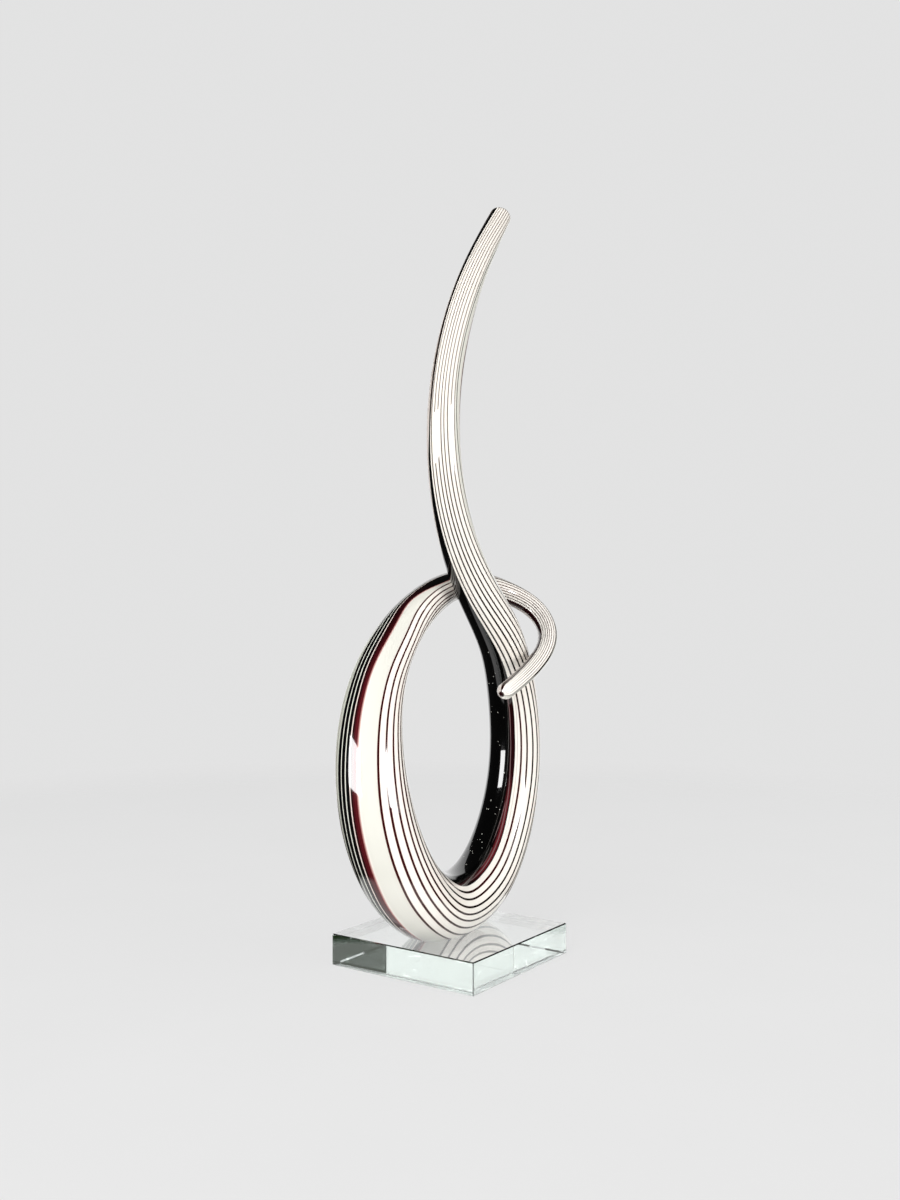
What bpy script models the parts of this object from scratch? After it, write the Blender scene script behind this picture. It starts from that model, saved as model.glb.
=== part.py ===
"""Striped glass spiral on a clear glass plinth: the solids, in metres, +Z up.

The origin is the middle of the plinth's underside. The spiral is one tapered rod. It comes down
from a tall tip, runs once round an upright ring that stands in the XZ plane, passes behind its
own stem and ends in a small hook in front of the ring. -Y is the side that the hook is on.
"""

import math

import bmesh
import bpy
import numpy as np

MM = 0.001

PLINTH_SIDE = 120 * MM
PLINTH_THICKNESS = 22 * MM
PLINTH_CHAMFER = 0.7 * MM
FOOT_GAP = 0.3 * MM        # between the plinth's top and the flat ground on the ring

# The ring's centre line is an egg that stands in the XZ plane and leans a little towards -X.
RING_MIDDLE = (-3 * MM, 150 * MM)    # x and z
RING_HALF_WIDTH = 85.5 * MM
RING_RISE = 94 * MM                  # from the middle up to the highest point
RING_DROP = 112 * MM                 # from the middle down to the lowest point
RING_LEAN = math.radians(5.5)
RING_START = math.radians(20)        # on the right side, where the stem runs into the egg
RING_BOTTOM = math.radians(-90)
RING_END = math.radians(-220)        # on the upper left, after the turn along the bottom
RING_POINTS = 9
# The ring keeps to its plane along the bottom, and its two ends step apart to pass each other.
RING_STEP = 9 * MM                   # depth reached at STEP_TURN from the bottom
STEP_TURN = math.radians(150)
# The left limb sways a little on its way up from the bottom: first forward, then back.
SWAY = (6.4 * MM, 5.6 * MM)          # x and y
SWAY_TURN = math.radians(170)        # where the sway has died out, past the ring's end

# Points on the centre line of the free ends: x, y, z in millimetres.
STEM_MM = (
    (27, -24, 531),      # tall tip
    (-15, -26, 474),
    (-42, -24, 389),     # where the stem bows out furthest, and leans forward
    (-30, -20, 321),
    (8, -15, 266),       # crossing, in front
    (48, -11, 226),
)
HOOK_MM = (
    (-2, 13, 259),       # crossing, behind
    (46, 15, 268),
    (81, 6, 262),
    (95, -10, 250),      # outermost turn
    (89, -26, 234),
    (57, -37, 211),
    (11, -39, 192),      # rounded end
)

# The rod's radius in millimetres at shares of its length, from the tall tip to the hook's end.
RADII_MM = (
    (0.00, 7.8),
    (0.10, 10.3),
    (0.20, 12.3),
    (0.32, 17.5),
    (0.42, 20.0),
    (0.50, 22.5),
    (0.60, 25.5),        # thickest, low on the left
    (0.67, 23.0),
    (0.76, 15.0),
    (0.83, 10.5),
    (0.90, 8.0),
    (1.00, 6.0),
)
TIP_DOME = 0.65              # height of each end's dome, as a share of the radius there
HOOK_DOME = 1.0

SIDES = 30                   # flats round the rod
STEP_PER_RADIUS = 0.62       # distance between two rings of the rod, as a share of the radius
DOME_RINGS = 5
FINE_STEPS = 4000            # samples that the ring spacing is worked out from
SMOOTH_ANGLE = math.radians(30)

CREAM = (0.90, 0.87, 0.78)
CLEAR = (0.86, 0.92, 0.90)


def clear_scene():
    for old in list(bpy.data.objects):
        bpy.data.objects.remove(old)


def glass_material(name, colour, transmission):
    material = bpy.data.materials.new(name)
    material.use_nodes = True
    shader = material.node_tree.nodes["Principled BSDF"]
    shader.inputs["Base Color"].default_value = (*colour, 1.0)
    shader.inputs["Roughness"].default_value = 0.03
    shader.inputs["Metallic"].default_value = 0.0
    shader.inputs["Transmission Weight"].default_value = transmission
    shader.inputs["IOR"].default_value = 1.5
    return material


def add_object(name, shape, material):
    """Turn a bmesh into an object of the scene."""
    mesh = bpy.data.meshes.new(name)
    bmesh.ops.recalc_face_normals(shape, faces=shape.faces)
    shape.to_mesh(mesh)
    shape.free()
    mesh.materials.append(material)
    placed = bpy.data.objects.new(name, mesh)
    bpy.context.scene.collection.objects.link(placed)
    return placed


def natural_spline(knots, values, places):
    """Natural cubic spline through values (one row for each knot), read at the places."""
    gaps = np.diff(knots)
    slopes = np.diff(values, axis=0) / gaps[:, None]
    system = np.eye(len(knots))
    right = np.zeros_like(values)
    for i in range(1, len(knots) - 1):
        system[i, i - 1:i + 2] = (gaps[i - 1], 2 * (gaps[i - 1] + gaps[i]), gaps[i])
        right[i] = 6 * (slopes[i] - slopes[i - 1])
    bends = np.linalg.solve(system, right)

    span = np.clip(np.searchsorted(knots, places) - 1, 0, len(gaps) - 1)
    gap = gaps[span][:, None]
    after = (places[:, None] - knots[span][:, None]) / gap
    before = 1 - after
    curve = before * values[span] + after * values[span + 1]
    bend = (before ** 3 - before) * bends[span] + (after ** 3 - after) * bends[span + 1]
    return curve + bend * gap ** 2 / 6


def ring_route():
    """Points along the ring's centre line, from its right side round the bottom to its upper left."""
    angles = np.linspace(RING_START, RING_END, RING_POINTS)
    across = RING_HALF_WIDTH * np.cos(angles)
    height = np.sin(angles)
    up = height * np.where(height > 0, RING_RISE, RING_DROP)
    x = RING_MIDDLE[0] + across * math.cos(RING_LEAN) - up * math.sin(RING_LEAN)
    z = RING_MIDDLE[1] + across * math.sin(RING_LEAN) + up * math.cos(RING_LEAN)
    turns = RING_BOTTOM - angles
    y = RING_STEP * (turns / STEP_TURN) ** 3
    way = math.pi * np.clip(turns / SWAY_TURN, 0.0, 1.0)
    sway = -np.sin(way) * np.sin(2 * way)
    return np.stack([x + SWAY[0] * sway, y + SWAY[1] * sway, z], axis=1)


def rod_radius(shares):
    """The rod's radius at shares of its length."""
    known, radii = np.array(RADII_MM).T
    return natural_spline(known, radii[:, None] * MM, shares)[:, 0]


def rod_sections():
    """Centres, directions and radii of the rod's rings, closer together where it is thin."""
    route = np.vstack([np.array(STEM_MM) * MM, ring_route(), np.array(HOOK_MM) * MM])
    chords = np.linalg.norm(np.diff(route, axis=0), axis=1)
    knots = np.concatenate([[0.0], np.cumsum(chords)])
    length = knots[-1]

    places = np.linspace(0.0, length, FINE_STEPS)
    steps = np.diff(places) / (STEP_PER_RADIUS * rod_radius(places[1:] / length))
    rings = np.concatenate([[0.0], np.cumsum(steps)])
    count = int(round(rings[-1]))
    places = np.interp(np.linspace(0.0, rings[-1], count + 1), rings, places)
    nudge = 1e-5
    ahead = natural_spline(knots, route, places + nudge)
    behind = natural_spline(knots, route, places - nudge)
    directions = ahead - behind
    directions /= np.linalg.norm(directions, axis=1)[:, None]
    return natural_spline(knots, route, places), directions, rod_radius(places / length)


def add_dome_sections(centres, directions, radii, first, height):
    """Rings of an elliptic dome that closes the rod at its first or last section."""
    end = 0 if first else -1
    outward = -directions[end] if first else directions[end]
    turns = np.linspace(0.0, math.pi / 2, DOME_RINGS + 1)[1:-1]
    offsets = np.sin(turns) * height * radii[end]
    dome_centres = centres[end] + offsets[:, None] * outward
    dome_radii = np.cos(turns) * radii[end]
    dome_directions = np.repeat(directions[end][None], len(turns), axis=0)
    pole = centres[end] + outward * height * radii[end]
    if first:
        order = slice(None, None, -1)
        return (np.vstack([dome_centres[order], centres]), np.vstack([dome_directions, directions]),
                np.concatenate([dome_radii[order], radii]), pole)
    return (np.vstack([centres, dome_centres]), np.vstack([directions, dome_directions]),
            np.concatenate([radii, dome_radii]), pole)


def ring_points(centre, direction, radius):
    """One ring of the rod, counted from the side that faces +Y."""
    depth = np.array([0.0, 1.0, 0.0])
    depth -= direction * direction.dot(depth)
    depth /= np.linalg.norm(depth)
    across = np.cross(direction, depth)
    turns = np.linspace(0.0, 2 * math.pi, SIDES, endpoint=False)[:, None]
    return centre + radius * (np.cos(turns) * depth + np.sin(turns) * across)


def foot_cutter(top):
    """Box that grinds the ring's underside flat, just above the plinth."""
    shape = bmesh.new()
    bmesh.ops.create_cube(shape, size=1.0)
    cutter = add_object("foot_cutter", shape, glass_material("cutter", CLEAR, 0.0))
    cutter.scale = (2 * PLINTH_SIDE, 2 * PLINTH_SIDE, PLINTH_THICKNESS)
    cutter.location.z = top - PLINTH_THICKNESS / 2
    cutter.hide_render = True
    cutter.display_type = "WIRE"
    return cutter


def make_spiral():
    centres, directions, radii = rod_sections()
    centres, directions, radii, tip = add_dome_sections(centres, directions, radii, True, TIP_DOME)
    centres, directions, radii, end = add_dome_sections(centres, directions, radii, False, HOOK_DOME)
    shape = bmesh.new()
    rings = []
    for centre, direction, radius in zip(centres, directions, radii):
        rings.append([shape.verts.new(point) for point in ring_points(centre, direction, radius)])
    for ring, following in zip(rings, rings[1:]):
        for i in range(SIDES):
            j = (i + 1) % SIDES
            shape.faces.new((ring[i], ring[j], following[j], following[i]))
    for ring, pole in ((rings[0], tip), (rings[-1], end)):
        middle = shape.verts.new(pole)
        for i in range(SIDES):
            shape.faces.new((ring[i], ring[(i + 1) % SIDES], middle))
    spiral = add_object("glass_spiral", shape, glass_material("striped_glass", CREAM, 0.0))
    spiral.data.shade_smooth()
    spiral.data.set_sharp_from_angle(angle=SMOOTH_ANGLE)
    ground = spiral.modifiers.new("ground_foot", "BOOLEAN")
    ground.operation = "DIFFERENCE"
    ground.object = foot_cutter(PLINTH_THICKNESS + FOOT_GAP)
    return spiral


def make_plinth():
    shape = bmesh.new()
    bmesh.ops.create_cube(shape, size=1.0)
    bmesh.ops.scale(shape, verts=shape.verts, vec=(PLINTH_SIDE, PLINTH_SIDE, PLINTH_THICKNESS))
    plinth = add_object("glass_plinth", shape, glass_material("clear_glass", CLEAR, 1.0))
    plinth.location.z = PLINTH_THICKNESS / 2
    chamfer = plinth.modifiers.new("chamfer", "BEVEL")
    chamfer.width = PLINTH_CHAMFER
    chamfer.segments = 1
    return plinth


clear_scene()
make_plinth()
make_spiral()
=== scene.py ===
"""Striped glass spiral on a clear glass plinth: finishes, studio and camera, in metres, +Z up."""

import math

import bmesh
import bpy
import numpy as np
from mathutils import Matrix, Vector


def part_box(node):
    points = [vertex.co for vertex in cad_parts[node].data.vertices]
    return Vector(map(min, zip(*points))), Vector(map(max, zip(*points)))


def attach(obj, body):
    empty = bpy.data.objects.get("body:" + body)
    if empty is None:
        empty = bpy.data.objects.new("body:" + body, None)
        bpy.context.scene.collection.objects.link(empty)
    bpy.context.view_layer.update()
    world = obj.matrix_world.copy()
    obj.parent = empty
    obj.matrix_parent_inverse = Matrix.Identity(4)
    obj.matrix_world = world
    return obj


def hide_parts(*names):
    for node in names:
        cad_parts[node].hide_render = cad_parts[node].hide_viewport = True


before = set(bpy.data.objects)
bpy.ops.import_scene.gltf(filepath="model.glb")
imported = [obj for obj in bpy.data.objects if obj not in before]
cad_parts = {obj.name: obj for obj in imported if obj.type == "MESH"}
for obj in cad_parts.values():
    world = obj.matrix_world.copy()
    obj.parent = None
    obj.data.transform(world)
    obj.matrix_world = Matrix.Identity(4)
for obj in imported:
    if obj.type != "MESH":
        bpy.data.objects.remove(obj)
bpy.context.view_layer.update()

MM = 0.001
plinth_low, plinth_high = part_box("glass_plinth")

# ---------------------------------------------------------------------------------------------
# The rod's centre line and thickness: the same named sizes as the solids are made from.

RING_MIDDLE = (-3 * MM, 150 * MM)    # x and z
RING_HALF_WIDTH = 85.5 * MM
RING_RISE = 94 * MM
RING_DROP = 112 * MM
RING_LEAN = math.radians(5.5)
RING_START = math.radians(20)
RING_BOTTOM = math.radians(-90)
RING_END = math.radians(-220)
RING_POINTS = 9
RING_STEP = 9 * MM
STEP_TURN = math.radians(150)
SWAY = (6.4 * MM, 5.6 * MM)
SWAY_TURN = math.radians(170)

STEM_MM = (
    (27, -24, 531),      # tall tip
    (-15, -26, 474),
    (-42, -24, 389),     # where the stem bows out furthest, and leans forward
    (-30, -20, 321),
    (8, -15, 266),       # crossing, in front
    (48, -11, 226),
)
HOOK_MM = (
    (-2, 13, 259),       # crossing, behind
    (46, 15, 268),
    (81, 6, 262),
    (95, -10, 250),      # outermost turn
    (89, -26, 234),
    (57, -37, 211),
    (11, -39, 192),      # rounded end
)

# The rod's radius in millimetres at shares of its length, from the tall tip to the hook's end.
RADII_MM = (
    (0.00, 7.8),
    (0.10, 10.3),
    (0.20, 12.3),
    (0.32, 17.5),
    (0.42, 20.0),
    (0.50, 22.5),
    (0.60, 25.5),        # thickest, low on the left
    (0.67, 23.0),
    (0.76, 15.0),
    (0.83, 10.5),
    (0.90, 8.0),
    (1.00, 6.0),
)
TIP_DOME = 0.65          # height of each end's dome, as a share of the radius there
HOOK_DOME = 1.0

SIDES = 96               # flats round the rod
RINGS = 520              # sections along it
DOME_RINGS = 10
FOOT_SINK = 0.05 * MM    # the ground foot is in optical contact with the plinth, through its bond
FOOT_CREASE = math.radians(50)    # edges that bend more than this stay crisp

# How far the coloured canes wind round the rod, in degrees, at shares of its length.
TWIST_DEG = (
    (0.00, 28),
    (0.06, 47),
    (0.12, 55),
    (0.18, 53),
    (0.24, 37),
    (0.30, 17),
    (0.36, 3),
    (0.42, 2),
    (0.48, -0.5),
    (0.51, -3),
    (0.545, -9),
    (0.575, -2.5),
    (0.61, 2),
    (0.64, 5),
    (0.68, 12),
    (0.72, 20),
    (0.75, 28),
    (0.785, 11),
    (0.81, 19),
    (0.87, 14),
    (0.91, 4),
    (0.95, -28),
    (1.00, -42),
)
# How far the canes fan out from the inside of the bend, in degrees, half a turn away from it.
FAN_DEG = (
    (0.00, 16),
    (0.04, 0),
    (0.12, -9),
    (0.18, 3),
    (0.31, 14),
    (0.40, 64),
    (0.46, 42),
    (0.49, 44),
    (0.56, -6),
    (0.60, 2),
    (0.70, 2),
    (0.76, 14),
    (0.79, 0),
    (0.83, 0),
    (0.90, 18),
    (1.00, 20),
)
FAN_ROOT_DEG = 146       # cane angle that the fan opens from
SEAM_DEG = -120          # cane angle where the pattern's map is cut open, on the hidden side
CAP_SHARE = 0.02         # part of the map's height that is kept for the ground foot


def natural_spline(knots, values, places):
    """Natural cubic spline through values (one row for each knot), read at the places."""
    gaps = np.diff(knots)
    slopes = np.diff(values, axis=0) / gaps[:, None]
    system = np.eye(len(knots))
    right = np.zeros_like(values)
    for i in range(1, len(knots) - 1):
        system[i, i - 1:i + 2] = (gaps[i - 1], 2 * (gaps[i - 1] + gaps[i]), gaps[i])
        right[i] = 6 * (slopes[i] - slopes[i - 1])
    bends = np.linalg.solve(system, right)

    span = np.clip(np.searchsorted(knots, places) - 1, 0, len(gaps) - 1)
    gap = gaps[span][:, None]
    after = (places[:, None] - knots[span][:, None]) / gap
    before = 1 - after
    curve = before * values[span] + after * values[span + 1]
    bend = (before ** 3 - before) * bends[span] + (after ** 3 - after) * bends[span + 1]
    return curve + bend * gap ** 2 / 6


def read_table(table, shares):
    """Smooth values between the rows of a table of (share of the length, value)."""
    known, values = np.array(table, dtype=float).T
    return natural_spline(known, values[:, None], shares)[:, 0]


def ease_table(table, shares):
    """Values between the rows of a table, level at each row."""
    known, values = np.array(table, dtype=float).T
    row = np.clip(np.searchsorted(known, shares) - 1, 0, len(known) - 2)
    way = (shares - known[row]) / (known[row + 1] - known[row])
    way = way * way * (3 - 2 * way)
    return values[row] + (values[row + 1] - values[row]) * way


def ring_route():
    """Points along the ring's centre line, from its right side round the bottom to its upper left."""
    angles = np.linspace(RING_START, RING_END, RING_POINTS)
    across = RING_HALF_WIDTH * np.cos(angles)
    height = np.sin(angles)
    up = height * np.where(height > 0, RING_RISE, RING_DROP)
    x = RING_MIDDLE[0] + across * math.cos(RING_LEAN) - up * math.sin(RING_LEAN)
    z = RING_MIDDLE[1] + across * math.sin(RING_LEAN) + up * math.cos(RING_LEAN)
    turns = RING_BOTTOM - angles
    y = RING_STEP * (turns / STEP_TURN) ** 3
    way = math.pi * np.clip(turns / SWAY_TURN, 0.0, 1.0)
    sway = -np.sin(way) * np.sin(2 * way)
    return np.stack([x + SWAY[0] * sway, y + SWAY[1] * sway, z], axis=1)


def rod_frames():
    """Centres, directions, outward and front vectors and shares of the sections, and the length.

    The outward vector is carried along the rod without turning about it, as the canes would lie
    if the rod had been drawn straight and then bent.
    """
    route = np.vstack([np.array(STEM_MM) * MM, ring_route(), np.array(HOOK_MM) * MM])
    chords = np.linalg.norm(np.diff(route, axis=0), axis=1)
    knots = np.concatenate([[0.0], np.cumsum(chords)])
    places = np.linspace(0.0, knots[-1], RINGS)
    centres = natural_spline(knots, route, places)
    nudge = 1e-5
    ahead = natural_spline(knots, route, places + nudge)
    behind = natural_spline(knots, route, places - nudge)
    directions = ahead - behind
    directions /= np.linalg.norm(directions, axis=1)[:, None]

    outward = np.empty_like(directions)
    outward[0] = np.cross(directions[0], (0.0, 1.0, 0.0))
    for i in range(RINGS):
        carried = outward[max(i - 1, 0)]
        carried = carried - directions[i] * directions[i].dot(carried)
        outward[i] = carried / np.linalg.norm(carried)
    front = np.cross(directions, outward)
    return centres, directions, outward, front, places / knots[-1], knots[-1]


def rod_rings():
    """Every ring of the rod with its domes, each ring's place from 0 to 1, and the two poles."""
    centres, directions, outward, front, shares, length = rod_frames()
    radii = read_table(RADII_MM, shares) * MM
    twist = np.radians(read_table(TWIST_DEG, shares))
    fan = np.radians(ease_table(FAN_DEG, shares))
    canes = np.radians(SEAM_DEG) + np.linspace(0.0, 2 * math.pi, SIDES, endpoint=False)
    opening = (1 - np.cos(math.radians(FAN_ROOT_DEG) - canes)) / 2

    def section(i, offset, radius):
        turns = (canes + twist[i] - fan[i] * opening)[:, None]
        round_it = np.cos(turns) * outward[i] + np.sin(turns) * front[i]
        return centres[i] + offset * directions[i] + radius * round_it

    tip_height = TIP_DOME * radii[0]
    hook_height = HOOK_DOME * radii[-1]
    turns = np.linspace(0.0, math.pi / 2, DOME_RINGS + 1)[1:-1]
    rings = []
    places = []
    for turn in turns[::-1]:
        rings.append(section(0, -tip_height * math.sin(turn), radii[0] * math.cos(turn)))
        places.append(-tip_height * math.sin(turn))
    for i in range(RINGS):
        rings.append(section(i, 0.0, radii[i]))
        places.append(shares[i] * length)
    for turn in turns:
        rings.append(section(-1, hook_height * math.sin(turn), radii[-1] * math.cos(turn)))
        places.append(length + hook_height * math.sin(turn))
    tip = centres[0] - tip_height * directions[0]
    end = centres[-1] + hook_height * directions[-1]
    places = (np.array(places) + tip_height) / (tip_height + length + hook_height)
    return rings, places, tip, end


def add_object(name, shape, material):
    """Turn a bmesh into a smooth-shaded object of the scene."""
    mesh = bpy.data.meshes.new(name)
    shape.to_mesh(mesh)
    shape.free()
    mesh.materials.append(material)
    mesh.shade_smooth()
    placed = bpy.data.objects.new(name, mesh)
    bpy.context.scene.collection.objects.link(placed)
    return placed


def make_spiral(material):
    """The whole rod as one fine skin, with a map of cane angle across and length up."""
    rings, places, tip, end = rod_rings()
    shape = bmesh.new()
    pattern = shape.loops.layers.uv.new("OFBake")
    rows = [[shape.verts.new(point) for point in ring] for ring in rings]
    heights = places * (1.0 - CAP_SHARE)

    def add_face(corners, spots):
        face = shape.faces.new(corners)
        for loop, spot in zip(face.loops, spots):
            loop[pattern].uv = spot

    for row, following, low, high in zip(rows, rows[1:], heights, heights[1:]):
        for i in range(SIDES):
            j = (i + 1) % SIDES
            left, right = i / SIDES, (i + 1) / SIDES
            add_face(
                (row[i], following[i], following[j], row[j]),
                ((left, low), (left, high), (right, high), (right, low)),
            )
    tip_middle = shape.verts.new(tip)
    for i in range(SIDES):
        left, right = i / SIDES, (i + 1) / SIDES
        add_face(
            (rows[0][i], rows[0][(i + 1) % SIDES], tip_middle),
            ((left, heights[0]), (right, heights[0]), ((left + right) / 2, 0.0)),
        )
    end_middle = shape.verts.new(end)
    for i in range(SIDES):
        left, right = i / SIDES, (i + 1) / SIDES
        add_face(
            (rows[-1][(i + 1) % SIDES], rows[-1][i], end_middle),
            ((right, heights[-1]), (left, heights[-1]), ((left + right) / 2, 1.0 - CAP_SHARE)),
        )

    grind_foot(shape, pattern)
    spiral = add_object("striped_spiral", shape, material)
    spiral.data.set_sharp_from_angle(angle=FOOT_CREASE)
    return spiral


def grind_foot(shape, pattern):
    """Cut the ring's underside flat on the plinth and close it with one face."""
    level = plinth_high.z - FOOT_SINK
    everything = shape.verts[:] + shape.edges[:] + shape.faces[:]
    cut = bmesh.ops.bisect_plane(
        shape, geom=everything, dist=1e-7, plane_co=(0, 0, level), plane_no=(0, 0, -1), clear_outer=True
    )
    rim = [item for item in cut["geom_cut"] if isinstance(item, bmesh.types.BMEdge)]
    filled = bmesh.ops.contextual_create(shape, geom=rim)
    for face in filled["faces"]:
        face.normal_update()
        if face.normal.z > 0:
            face.normal_flip()
        for loop in face.loops:
            across = (loop.vert.co.x - plinth_low.x) / (plinth_high.x - plinth_low.x)
            along = (loop.vert.co.y - plinth_low.y) / (plinth_high.y - plinth_low.y)
            loop[pattern].uv = (across, 1.0 - CAP_SHARE * (0.1 + 0.8 * along))


# ---------------------------------------------------------------------------------------------
# Materials.

CREAM = (0.90, 0.87, 0.80)
WARM_CREAM = (0.91, 0.85, 0.78)
# painted shade: the plain stripe's cream, darker to offset the left light that falls on it
SHADED_STRIPE_CREAM = (0.715, 0.705, 0.64)
STEM_CREAM = (0.86, 0.82, 0.75)
HOOK_CREAM = (0.97, 0.935, 0.87)
SMOKE = (0.26, 0.22, 0.20)
LINE_RED = (0.045, 0.003, 0.004)
LINE_BLACK = (0.005, 0.003, 0.002)
LINE_BROWN = (0.040, 0.014, 0.009)
RED_STREAK = (0.16, 0.018, 0.024)
MAROON = (0.075, 0.005, 0.008)
DEEP_MAROON = (0.014, 0.001, 0.0015)
ROSE = (0.50, 0.24, 0.22)
BLACK = (0.001, 0.001, 0.001)
HAIRLINE = (0.72, 0.72, 0.64)
PINK_HAIRLINE = (0.74, 0.62, 0.57)
PALE_GREEN = (0.58, 0.60, 0.52)
GREY_PINK = (0.24, 0.15, 0.15)
PINK_GREY = (0.42, 0.33, 0.31)
BROWN = (0.075, 0.045, 0.035)
GLASS_TINT = (0.72, 0.92, 0.84)

# Cane angles and widths in degrees: 0 is the outside of the bend, 90 its front, 180 its inside.
LINES_DEG = (
    (46, 3.5), (60, 3.7), (74, 3.7), (86.5, 3.5), (97, 3.7), (108.5, 3.8), (121, 3.7), (133, 4.2)
)
HAIRLINES_DEG = ((-1.0, PINK_HAIRLINE), (-10.0, HAIRLINE), (-20.0, HAIRLINE))
HAIRLINE_WIDTH_DEG = 2.0
HAIRLINE_SOFT_DEG = 1.1
BLEED_DEG = 6.0                # how far a line's faint red bleed reaches
PLAIN_STRIPE_DEG = (14, 45)    # the wide plain stripe
BLACK_BAND_DEG = (-30.0, 1.5)
PALE_BAND_DEG = (-62, -30)
SEED_SCALE = 300.0             # cells per metre that may hold one seed

# Where the pattern changes along the rod, as shares of its length.
HOOK_STARTS = (0.84, 0.88)
THIN_ARM_STARTS = (0.915, 0.94)
ARM_ENDS = (0.96, 1.0)


class Pattern:
    """Adds linked nodes to a material, so that a formula reads as calls."""

    def __init__(self, name):
        self.material = bpy.data.materials.new(name)
        self.material.use_nodes = True
        self.tree = self.material.node_tree
        self.shader = self.tree.nodes["Principled BSDF"]
        self.output = self.tree.nodes["Material Output"]

    def put(self, socket, value):
        if isinstance(value, bpy.types.NodeSocket):
            self.tree.links.new(value, socket)
        elif isinstance(value, tuple) and len(value) == 3 and socket.type == "RGBA":
            socket.default_value = (*value, 1.0)
        else:
            socket.default_value = value

    def node(self, kind, output, **inputs):
        """Output socket of a new node, with plain values or links on its named inputs."""
        node = self.tree.nodes.new(kind)
        for name, value in inputs.items():
            self.put(node.inputs[name], value)
        return node.outputs[output]

    def math(self, operation, *values, clamp=False):
        node = self.tree.nodes.new("ShaderNodeMath")
        node.operation = operation
        node.use_clamp = clamp
        for socket, value in zip(node.inputs, values):
            self.put(socket, value)
        return node.outputs[0]

    def times(self, first, *others, clamp=False):
        """Product of all the values."""
        for other in others:
            first = self.math("MULTIPLY", first, other, clamp=clamp)
        return first

    def total(self, start, *terms, clamp=False):
        """The start value plus each term's value times its weight."""
        for value, weight in terms:
            start = self.math("MULTIPLY_ADD", value, weight, start)
        return self.math("ADD", start, 0.0, clamp=True) if clamp else start

    def rise(self, value, start, end):
        """0 below start, 1 above end, smooth in between."""
        node = self.tree.nodes.new("ShaderNodeMapRange")
        node.interpolation_type = "SMOOTHSTEP"
        self.put(node.inputs["Value"], value)
        self.put(node.inputs["From Min"], start)
        self.put(node.inputs["From Max"], end)
        return node.outputs["Result"]

    def fall(self, value, start, end):
        """1 below start, 0 above end."""
        return self.math("SUBTRACT", 1.0, self.rise(value, start, end))

    def band(self, value, start, end, soft_start, soft_end):
        """1 between start and end, with edges of the given softness."""
        rising = self.rise(value, start - soft_start / 2, start + soft_start / 2)
        falling = self.rise(value, end - soft_end / 2, end + soft_end / 2)
        return self.math("SUBTRACT", rising, falling, clamp=True)

    def away(self, value, middle):
        """Distance of the value from the middle."""
        return self.math("ABSOLUTE", self.math("SUBTRACT", value, middle))

    def line(self, value, middle, width, soft):
        """1 on a thin line, with soft edges."""
        edge = self.rise(self.away(value, middle), width / 2 - soft / 2, width / 2 + soft / 2)
        return self.math("SUBTRACT", 1.0, edge, clamp=True)

    def mix(self, share, first, second):
        """Blend of two colours: the node's colour sockets are inputs 6 and 7 and output 2."""
        node = self.tree.nodes.new("ShaderNodeMix")
        node.data_type = "RGBA"
        self.put(node.inputs[0], share)
        self.put(node.inputs[6], first)
        self.put(node.inputs[7], second)
        return node.outputs[2]

    def noise(self, place, scale, detail=2.0, rough=0.5):
        return self.node(
            "ShaderNodeTexNoise", "Fac", Vector=place, Scale=scale, Detail=detail, Roughness=rough
        )

    def vector(self, x, y, z):
        return self.node("ShaderNodeCombineXYZ", 0, X=x, Y=y, Z=z)

    def bump(self, height, distance, strength):
        return self.node(
            "ShaderNodeBump", "Normal", Height=height, Distance=distance, Strength=strength
        )

    def coordinates(self, kind):
        """Place or normal in the object's own frame."""
        return self.tree.nodes.new("ShaderNodeTexCoord").outputs[kind]


def striped_glass():
    """Ivory glass with fine dark canes, a maroon band and a black back, under a clear casing."""
    p = Pattern("striped_glass")
    place = p.tree.nodes.new("ShaderNodeUVMap")
    place.uv_map = "OFBake"
    split = p.tree.nodes.new("ShaderNodeSeparateXYZ")
    p.put(split.inputs[0], place.outputs[0])
    share = p.math("DIVIDE", split.outputs[1], 1.0 - CAP_SHARE)
    solid = p.coordinates("Object")

    # The canes wander a little, as pulled glass does. Streaks run along them.
    straight = p.math("MULTIPLY_ADD", split.outputs[0], 360.0, float(SEAM_DEG))
    drift = p.noise(p.vector(p.times(straight, 0.02), p.times(share, 9.0), 0.0), 1.0, 3.0)
    angle = p.math("ADD", straight, p.times(p.math("SUBTRACT", drift, 0.5), 2.4))
    streaks = p.noise(p.vector(p.times(straight, 0.9), p.times(share, 7.0), 7.0), 1.0, 3.0, 0.6)

    colour = ivory(p, angle, share, solid)
    colour = dark_lines(p, colour, angle, share, straight)
    colour = edge_lines(p, colour, angle, share)
    colour = outer_bands(p, colour, angle, share, streaks)
    colour = black_side(p, colour, angle, share, streaks, solid)
    colour = inner_maroon(p, colour, angle, share, streaks)
    p.put(p.shader.inputs["Base Color"], colour)

    wave = p.noise(solid, 28.0, 2.0)
    p.put(p.shader.inputs["Roughness"], p.math("MULTIPLY_ADD", wave, 0.05, 0.10))
    p.shader.inputs["IOR"].default_value = 1.5
    p.shader.inputs["Specular IOR Level"].default_value = 0.12
    p.shader.inputs["Coat Weight"].default_value = 1.0
    p.shader.inputs["Coat Roughness"].default_value = 0.015
    p.shader.inputs["Coat IOR"].default_value = 1.6
    ripple = p.bump(wave, 0.0012, 0.12)
    p.put(p.shader.inputs["Normal"], ripple)
    p.put(p.shader.inputs["Coat Normal"], ripple)
    return p.material


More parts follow.
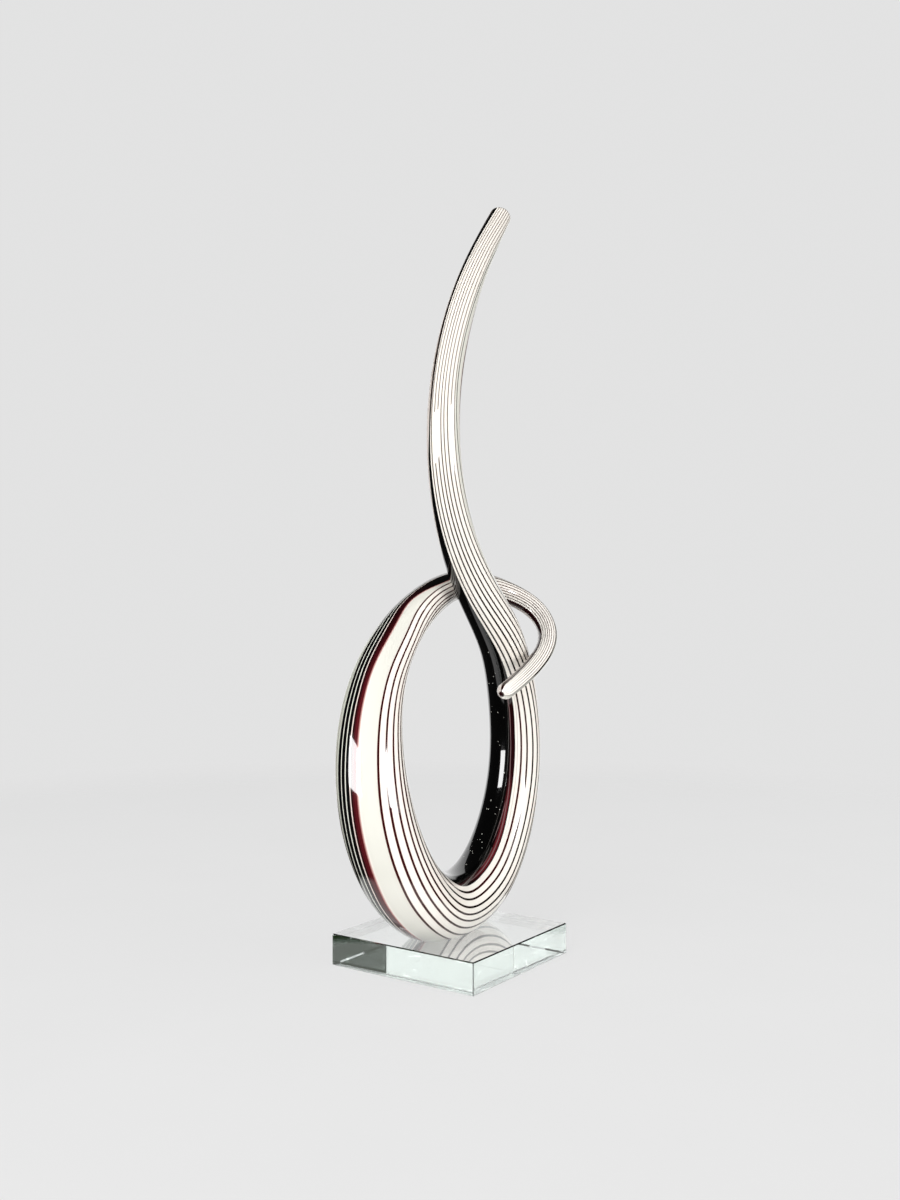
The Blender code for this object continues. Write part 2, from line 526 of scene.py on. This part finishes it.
def ivory(p, angle, share, solid):
    """Ivory ground: dimmer on the stem, brighter on the hook, smooth and darker in the wide plain
    stripe, where painted shade offsets the left light falling on it.
    """
    cloud = p.noise(solid, 35.0, 4.0, 0.6)
    ground = p.mix(p.rise(cloud, 0.35, 0.7), CREAM, WARM_CREAM)
    ground = p.mix(p.fall(share, 0.12, 0.30), ground, STEM_CREAM)
    ground = p.mix(p.rise(share, 0.86, 0.90), ground, HOOK_CREAM)
    return p.mix(p.band(angle, *PLAIN_STRIPE_DEG, 8, 3), ground, SHADED_STRIPE_CREAM)


def dark_lines(p, colour, angle, share, straight):
    """Fine dark lines, red on the ring's near side, each with a faint red bleed."""
    on_arm = p.times(p.rise(angle, 88, 104), p.rise(share, 0.92, 0.95))
    strength = p.total(
        0.80,
        (p.rise(share, 0.12, 0.22), 0.20),      # fainter on the stem,
        (p.rise(share, 0.85, 0.90), -0.05),     # on the hook,
        (on_arm, -0.40),                        # on the front of the hook's arm
        (p.rise(share, 0.97, 0.995), -0.50),    # and at its end
        clamp=True,
    )
    patchy = p.noise(p.vector(p.times(straight, 0.35), p.times(share, 25.0), 3.0), 1.0, 2.0)
    strength = p.times(strength, p.total(0.88, (patchy, 0.30), clamp=True))

    red_front = p.times(p.rise(share, 0.50, 0.60), p.band(angle, 38, 105, 10, 40))
    red_inside = p.times(p.band(share, 0.36, 0.53, 0.04, 0.04), p.rise(angle, 110, 130))
    ink = p.mix(p.rise(share, 0.15, 0.25), LINE_BROWN, LINE_BLACK)
    ink = p.mix(p.math("MAXIMUM", red_front, red_inside), ink, LINE_RED)

    left_limb = p.band(share, 0.62, 0.81, 0.06, 0.04)
    widen = p.total(                            # degrees more on each side of a line
        0.0,
        (p.band(share, 0.34, 0.56, 0.08, 0.08), -0.22),
        (left_limb, 0.15),
        (p.times(left_limb, p.rise(angle, 80, 100)), 0.40),
    )
    soft = p.total(0.35, (p.fall(share, 0.0, 0.12), 1.0), (p.rise(share, 0.84, 0.90), 0.4))
    for middle, width in LINES_DEG:
        away = p.away(angle, float(middle))
        colour = p.mix(p.times(p.fall(away, 0.0, BLEED_DEG), 0.10), colour, ROSE)
        past_edge = p.math("SUBTRACT", p.math("SUBTRACT", away, width / 2), widen)
        thread = p.fall(p.math("DIVIDE", past_edge, soft), -1.0, 1.0)
        colour = p.mix(p.times(thread, strength), colour, ink)
    return colour


def edge_lines(p, colour, angle, share):
    """Further dark lines, on and beside the plain stripe, which only the stem and hook have."""
    middle = p.total(36.0, (p.fall(share, 0.015, 0.06), -16.0), (p.rise(share, 0.13, 0.26), -16.0))
    on_stem = p.times(p.fall(share, 0.25, 0.29), 0.8)
    colour = p.mix(p.times(p.line(angle, middle, 4.8, 1.2), on_stem), colour, LINE_BLACK)

    on_upper_stem = p.band(share, 0.07, 0.16, 0.05, 0.08)
    colour = p.mix(p.times(p.line(angle, 1.5, 19.0, 4.0), on_upper_stem), colour, LINE_BLACK)

    on_hook = p.total(
        0.0,
        (p.rise(share, *HOOK_STARTS), 0.65),
        (p.band(share, 0.943, 0.967, 0.012, 0.012), 0.39),
        (p.rise(share, 0.962, 0.975), -0.26),
        clamp=True,
    )
    return p.mix(p.times(p.line(angle, 39.0, 14.0, 4.0), on_hook), colour, LINE_BLACK)


def outer_bands(p, colour, angle, share, streaks):
    """Maroon band, and a black one with light hairlines, along the outside of the bend."""
    edge = p.total(                             # cane angle where the ivory begins
        13.3,
        (p.rise(share, 0.70, 0.76), 4.0),
        (p.rise(share, 0.765, 0.80), 19.0),
        (p.fall(share, 0.08, 0.12), -9.0),
    )
    inside = p.math("SUBTRACT", edge, angle)    # degrees in from the ivory
    shown = p.times(p.rise(share, 0.06, 0.10), p.fall(share, 0.85, 0.88))
    red_part = p.times(p.rise(share, 0.28, 0.34), p.fall(share, 0.765, 0.795))
    shade = p.mix(p.rise(streaks, 0.45, 0.75), MAROON, RED_STREAK)
    shade = p.mix(p.rise(inside, 4.0, 13.0), shade, DEEP_MAROON)
    shade = p.mix(p.times(p.rise(share, 0.68, 0.77), 0.85), shade, DEEP_MAROON)
    shade = p.mix(red_part, BLACK, shade)
    shade = p.mix(p.rise(inside, 0.5, 3.5), ROSE, shade)
    band = p.times(p.rise(inside, -1.5, 1.5), p.rise(angle, -40.0, -39.0))
    colour = p.mix(p.times(band, shown), colour, shade)

    black = p.times(p.band(angle, *BLACK_BAND_DEG, 2.5, 2.5), shown)
    colour = p.mix(black, colour, BLACK)
    for middle, tint in HAIRLINES_DEG:
        thread = p.line(angle, middle, HAIRLINE_WIDTH_DEG, HAIRLINE_SOFT_DEG)
        colour = p.mix(p.times(thread, shown), colour, tint)

    # Pale streaked glass beyond the black.
    pale = p.mix(p.rise(streaks, 0.50, 0.66), PALE_GREEN, GREY_PINK)
    return p.mix(p.times(p.band(angle, *PALE_BAND_DEG, 3.0, 2.5), shown), colour, pale)


def black_side(p, colour, angle, share, streaks, solid):
    """Black glass on the inside and back of the ring; on the thin ends it is one stripe."""
    on_hook = p.rise(share, *HOOK_STARTS)
    thin_part = p.rise(share, *THIN_ARM_STARTS)
    arm_end = p.rise(share, *ARM_ENDS)
    near = p.total(                             # cane angle where the black begins
        144.5,
        (p.rise(share, 0.0, 0.07), -3.5),
        (p.band(share, 0.11, 0.165, 0.06, 0.04), -4.5),
        (p.rise(share, 0.31, 0.36), 3.0),
        (p.band(share, 0.375, 0.455, 0.03, 0.04), 2.0),
        (on_hook, -13.0),
        (thin_part, -2.5),
        (arm_end, -7.0),
    )
    far = p.total(                              # and where it ends, past the map's seam on the ring
        168.0,
        (p.rise(share, 0.02, 0.08), -12.0),
        (p.band(share, 0.125, 0.172, 0.07, 0.022), -9.5),
        (p.rise(share, 0.18, 0.23), 11.0),
        (p.rise(share, 0.22, 0.29), 79.0),
        (p.rise(share, 0.79, 0.86), -87.0),
        (thin_part, -6.0),
        (arm_end, -8.0),
    )

    # Smoky, rosy glass beyond the stripe on the thin ends; on the stem its pale streaks are partly the
    # glass's own tint and partly a painted reflection of a window.
    on_ends = p.math("ADD", p.fall(share, 0.22, 0.28), p.rise(share, 0.82, 0.86))
    beyond = p.math("MAXIMUM", p.rise(angle, 143, 147), p.fall(angle, -41, -37))
    rosy_tint_and_window_sheen = p.mix(p.rise(streaks, 0.35, 0.65), PINK_GREY, CREAM)
    rosy_tint_and_window_sheen = p.mix(p.fall(share, 0.04, 0.09), rosy_tint_and_window_sheen, SMOKE)
    colour = p.mix(p.times(beyond, on_ends, clamp=True), colour, rosy_tint_and_window_sheen)

    from_near = p.math("SUBTRACT", angle, near)
    to_far = p.math("SUBTRACT", far, angle)
    brown_part = p.math("ADD", p.band(share, 0.08, 0.155, 0.03, 0.03), p.rise(share, 0.90, 0.96))
    tone = p.mix(on_hook, BLACK, DEEP_MAROON)
    tone = p.mix(p.times(brown_part, p.fall(to_far, 1.0, 9.0)), tone, BROWN)
    stripe = p.times(p.rise(from_near, -0.6, 0.8), p.rise(to_far, -3.0, 3.0))
    colour = p.mix(stripe, colour, tone)

    # All canes run together in a small dark knot on the hook's end.
    knot = p.rise(p.math("MULTIPLY_ADD", streaks, 0.0004, share), 0.9997, 1.0)
    colour = p.mix(knot, colour, DEEP_MAROON)

    whole_back = p.times(p.rise(share, 0.27, 0.30), p.fall(share, 0.79, 0.84))
    far_back = p.times(p.fall(angle, -64, -60), whole_back)
    colour = p.mix(far_back, colour, BLACK)

    # Tiny seeds and specks caught in the black glass, more of them low on the right limb.
    cells = p.node("ShaderNodeTexVoronoi", "Distance", Vector=solid, Scale=SEED_SCALE)
    seed = p.math("LESS_THAN", cells, 0.16)
    rarity = p.total(0.55, (p.band(share, 0.425, 0.51, 0.03, 0.03), -0.05))
    clustered = p.math("GREATER_THAN", p.noise(solid, 70.0, 2.0), rarity)
    in_black = p.math("MAXIMUM", p.times(p.rise(angle, 162, 165), whole_back), far_back)
    return p.mix(p.times(seed, clustered, in_black, 0.6), colour, HAIRLINE)


def inner_maroon(p, colour, angle, share, streaks):
    """Dark maroon with a few light threads, where the ivory meets the black inside the ring."""
    edge = p.total(146.0, (p.band(share, 0.375, 0.455, 0.03, 0.04), 2.0))
    inside = p.math("SUBTRACT", angle, edge)    # degrees in from the ivory
    shown = p.band(share, 0.35, 0.525, 0.03, 0.04)

    shade = p.mix(p.rise(inside, 7.0, 13.0), DEEP_MAROON, BLACK)
    red = p.times(p.band(share, 0.425, 0.51, 0.03, 0.04), p.band(inside, 0.0, 9.0, 2.0, 5.0))
    shade = p.mix(p.times(red, p.rise(streaks, 0.35, 0.65)), shade, RED_STREAK)

    middle = p.total(8.5, (p.rise(share, 0.40, 0.44), -4.0))
    thread = p.line(inside, middle, 1.9, 1.3)
    shade = p.mix(p.times(thread, 0.7), shade, GREY_PINK)
    slant = p.math("MULTIPLY_ADD", p.math("SUBTRACT", share, 0.44), 200.0, 8.0)
    thread = p.times(p.line(inside, slant, 1.8, 1.2), p.band(share, 0.44, 0.485, 0.01, 0.02))
    shade = p.mix(p.times(thread, 0.7), shade, GREY_PINK)
    colour = p.mix(p.times(p.band(inside, 0.0, 13.5, 1.2, 3.0), shown), colour, shade)

    ghost = p.times(p.line(inside, -7.0, 1.8, 1.6), p.band(share, 0.35, 0.46, 0.02, 0.04))
    return p.mix(p.times(ghost, 0.35), colour, GREY_PINK)


def clear_glass():
    """Polished clear block with a faint green tint, the finest haze, and ground lower arrises."""
    p = Pattern("clear_glass")
    solid = p.coordinates("Object")
    p.shader.inputs["Base Color"].default_value = (1.0, 1.0, 1.0, 1.0)
    p.shader.inputs["Transmission Weight"].default_value = 1.0
    p.shader.inputs["IOR"].default_value = 1.60
    p.shader.inputs["Coat Weight"].default_value = 1.0
    p.shader.inputs["Coat Roughness"].default_value = 0.0
    p.shader.inputs["Coat IOR"].default_value = 1.60

    normal = p.tree.nodes.new("ShaderNodeSeparateXYZ")
    p.put(normal.inputs[0], p.coordinates("Normal"))
    x, y, z = normal.outputs
    level = p.math("MAXIMUM", p.math("ABSOLUTE", x), p.math("ABSOLUTE", y))
    largest = p.math("MAXIMUM", level, p.math("ABSOLUTE", z))
    arris = p.times(p.math("LESS_THAN", largest, 0.9), p.math("LESS_THAN", z, 0.3))
    haze = p.times(p.rise(p.noise(solid, 60.0, 4.0, 0.65), 0.5, 0.8), 0.012)
    p.put(p.shader.inputs["Roughness"], p.total(haze, (arris, 0.6)))
    p.put(p.shader.inputs["Normal"], p.bump(p.noise(solid, 14.0, 1.0), 0.0004, 0.10))

    body = p.node("ShaderNodeVolumeAbsorption", "Volume", Color=GLASS_TINT, Density=3.0)
    p.tree.links.new(body, p.output.inputs["Volume"])
    return p.material


# ---------------------------------------------------------------------------------------------
# Studio. Directions are compass angles round the object: 0 is towards the camera, and positive
# angles go to the camera's left.

VIEW_AZIMUTH = -54.7     # degrees from -Y, round towards +X
CAMERA_DISTANCE = 0.871
CAMERA_HEIGHT = 0.2558
CAMERA_SHIFT = -0.0008   # sideways, along the picture
CAMERA_LENS = 36.66      # millimetres, on a sensor 36 mm tall

# How bright the surroundings are to each kind of ray.
SEEN_GREY = (0.765, 0.765, 0.765)          # straight from the camera
FILL_GREY = (0.14, 0.14, 0.14)             # soft light from all sides
MIRRORED_GREY = (0.015, 0.015, 0.015)      # in reflections: a dark studio
REFRACTED_GREEN = (0.010, 0.022, 0.006)    # through the clear plinth

FLOOR_RADIUS = 1.15
FLOOR_DROP = 0.2 * MM    # the floor lies just below the plinth's underside
FLOOR_GREYS = ((0.11, 0.11, 0.11), (0.13, 0.13, 0.13))
FLOOR_GLOW = 0.69
TABLE_REACH = 0.14       # reflections see the pale floor only this far out


def towards(angle_left):
    """Level unit vector at a compass angle from the camera's direction."""
    turn = math.radians(VIEW_AZIMUTH - angle_left)
    return Vector((math.sin(turn), -math.cos(turn), 0.0))


def make_camera():
    data = bpy.data.cameras.new("camera")
    data.lens = CAMERA_LENS
    data.sensor_width = 36.0
    data.clip_start = 0.01
    camera = bpy.data.objects.new("camera", data)
    back = towards(0)
    right = Vector((-back.y, back.x, 0.0))
    camera.location = back * CAMERA_DISTANCE + right * CAMERA_SHIFT + Vector((0, 0, CAMERA_HEIGHT))
    camera.rotation_euler = (math.radians(90), 0, math.radians(VIEW_AZIMUTH))
    bpy.context.scene.collection.objects.link(camera)
    bpy.context.scene.camera = camera


def area_light(name, angle_left, distance, middle, width, height, radiance, aim=None):
    """Area light that faces the sculpture's axis, level or aimed at the given height."""
    data = bpy.data.lights.new(name, "AREA")
    data.shape = "RECTANGLE"
    data.size = width
    data.size_y = height
    data.energy = radiance * math.pi * width * height
    lamp = bpy.data.objects.new(name, data)
    lamp.location = towards(angle_left) * distance + Vector((0, 0, middle))
    facing = Vector((0, 0, middle if aim is None else aim)) - lamp.location
    lamp.rotation_mode = "QUATERNION"
    lamp.rotation_quaternion = facing.to_track_quat("-Z", "Y")
    lamp.visible_camera = False
    bpy.context.scene.collection.objects.link(lamp)
    return lamp


def fill_light(*place, **aim):
    """Area light that brightens the glass and isn't mirrored in it."""
    lamp = area_light(*place, **aim)
    lamp.visible_glossy = False
    lamp.visible_transmission = False


def mirrored_light(*place, **aim):
    """Area light that is mirrored in the glass and does nothing else."""
    lamp = area_light(*place, **aim)
    lamp.visible_diffuse = False
    lamp.visible_transmission = False


def background_light(*place, **aim):
    """Area light that is only seen through the clear plinth."""
    lamp = area_light(*place, **aim)
    lamp.visible_diffuse = False
    lamp.visible_glossy = False


def make_world():
    """Pale to the camera, and a dim studio in reflections and as fill."""
    world = bpy.data.worlds.new("studio")
    world.use_nodes = True
    tree = world.node_tree
    tree.nodes.clear()
    rays = tree.nodes.new("ShaderNodeLightPath")

    def plain(colour):
        surround = tree.nodes.new("ShaderNodeBackground")
        surround.inputs["Color"].default_value = (*colour, 1.0)
        return surround.outputs[0]

    surface = plain(FILL_GREY)
    for kind, colour in (
        ("Is Glossy Ray", MIRRORED_GREY),
        ("Is Transmission Ray", REFRACTED_GREEN),
        ("Is Camera Ray", SEEN_GREY),
    ):
        mixer = tree.nodes.new("ShaderNodeMixShader")
        tree.links.new(rays.outputs[kind], mixer.inputs[0])
        tree.links.new(surface, mixer.inputs[1])
        tree.links.new(plain(colour), mixer.inputs[2])
        surface = mixer.outputs[0]
    output = tree.nodes.new("ShaderNodeOutputWorld")
    tree.links.new(surface, output.inputs["Surface"])
    bpy.context.scene.world = world


def make_floor():
    """Pale round floor that fades into the backdrop at its rim."""
    p = Pattern("floor")
    solid = p.coordinates("Object")
    length = p.tree.nodes.new("ShaderNodeVectorMath")
    length.operation = "LENGTH"
    p.put(length.inputs[0], solid)
    reach = length.outputs["Value"]
    fade = p.rise(reach, FLOOR_RADIUS * 0.70, FLOOR_RADIUS * 0.98)
    mirrored = p.node("ShaderNodeLightPath", "Is Glossy Ray")
    beyond_table = p.rise(reach, TABLE_REACH * 0.95, TABLE_REACH * 1.05)
    fade = p.math("MAXIMUM", fade, p.times(mirrored, beyond_table))
    p.put(p.shader.inputs["Base Color"], p.mix(p.noise(solid, 9.0, 3.0), *FLOOR_GREYS))
    p.shader.inputs["Roughness"].default_value = 0.9
    p.shader.inputs["Specular IOR Level"].default_value = 0.0
    p.shader.inputs["Emission Color"].default_value = (1, 1, 1, 1)
    p.shader.inputs["Emission Strength"].default_value = FLOOR_GLOW
    clear = p.tree.nodes.new("ShaderNodeBsdfTransparent")
    mixer = p.tree.nodes.new("ShaderNodeMixShader")
    p.tree.links.new(fade, mixer.inputs[0])
    p.tree.links.new(p.shader.outputs[0], mixer.inputs[1])
    p.tree.links.new(clear.outputs[0], mixer.inputs[2])
    p.tree.links.new(mixer.outputs[0], p.output.inputs["Surface"])

    shape = bmesh.new()
    bmesh.ops.create_circle(shape, cap_ends=True, segments=96, radius=FLOOR_RADIUS)
    floor = add_object("floor", shape, p.material)
    floor.location.z = -FLOOR_DROP


def make_studio():
    """World, floor and lights: name, angle, distance, middle's height, width, height, radiance."""
    bpy.context.scene.view_settings.view_transform = "Standard"
    make_world()
    make_floor()
    fill_light("left_fill", 55, 1.50, 0.35, 1.15, 0.67, 3.8)
    fill_light("right_fill", -61, 1.50, 0.33, 0.95, 0.50, 8.5)
    fill_light("side_fill", -108, 1.50, 0.40, 0.8, 0.8, 3.6)
    fill_light("front_fill", 15, 1.60, 0.70, 1.2, 1.2, 3.6, aim=0.25)
    fill_light("high_fill", 25, 0.80, 1.25, 0.8, 0.8, 3.6, aim=0.50)
    mirrored_light("left_softbox", 50, 1.47, 0.34, 1.04, 0.60, 14.0)
    mirrored_light("right_softbox", -62, 1.47, 0.39, 0.85, 0.44, 2.0)
    mirrored_light("right_softbox_core", -55, 1.44, 0.375, 0.41, 0.42, 15.0)
    mirrored_light("lit_backdrop", 180, 1.40, 0.50, 1.9, 1.4, 0.80)
    background_light("clear_backdrop", 180, 1.45, 0.45, 3.0, 2.2, 0.95)
    background_light("clear_left", 55, 1.44, 0.38, 1.15, 0.67, 1.0)
    background_light("clear_right", -61, 1.44, 0.33, 0.95, 0.50, 1.0)


make_camera()
make_studio()

spiral = make_spiral(striped_glass())
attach(spiral, "root")
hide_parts("glass_spiral")

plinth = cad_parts["glass_plinth"]
for slot in plinth.material_slots:
    slot.link = "OBJECT"
    slot.material = clear_glass()
